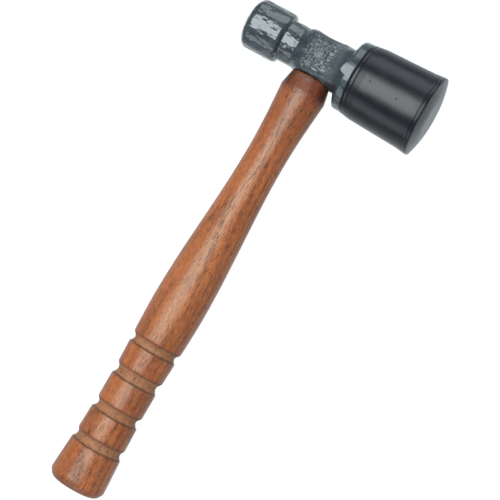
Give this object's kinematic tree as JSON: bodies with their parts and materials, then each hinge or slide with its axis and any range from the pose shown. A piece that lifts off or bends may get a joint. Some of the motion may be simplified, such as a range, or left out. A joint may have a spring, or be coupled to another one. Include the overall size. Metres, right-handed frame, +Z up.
{
  "type": "blacksmith hammer",
  "caption": "Two-faced hammer: round crowned hard poll at one end, large moulded rubber tip at the other, on a turned wooden handle with grip grooves.",
  "frame": {"origin": "centre of the hammer's outline on the bench, at the height of the bench", "axes": "+Y along the handle from the butt to the head, +X from the hard poll to the rubber tip, +Z up from the bench on which the hammer lies"},
  "size_m": [0.1406, 0.3538, 0.0578],
  "materials": {
    "head_paint": "glossy enamel over a rough casting",
    "handle_wood": "stained and satin lacquered",
    "wedge_wood": "bare end grain",
    "wedge_steel": "as cast, dull",
    "tip_rubber": "smooth moulded, slightly glossy",
    "zinc_steel": "zinc plated"
  },
  "bodies": {
    "root": {"hammer_head": "head_paint", "handle": "handle_wood", "kerf_wedge": "wedge_wood", "steel_wedge_1": "wedge_steel", "steel_wedge_2": "wedge_steel", "rubber_tip": "tip_rubber", "tip_plate": "zinc_steel", "tip_stud": "zinc_steel"}
  },
  "joints": []
}
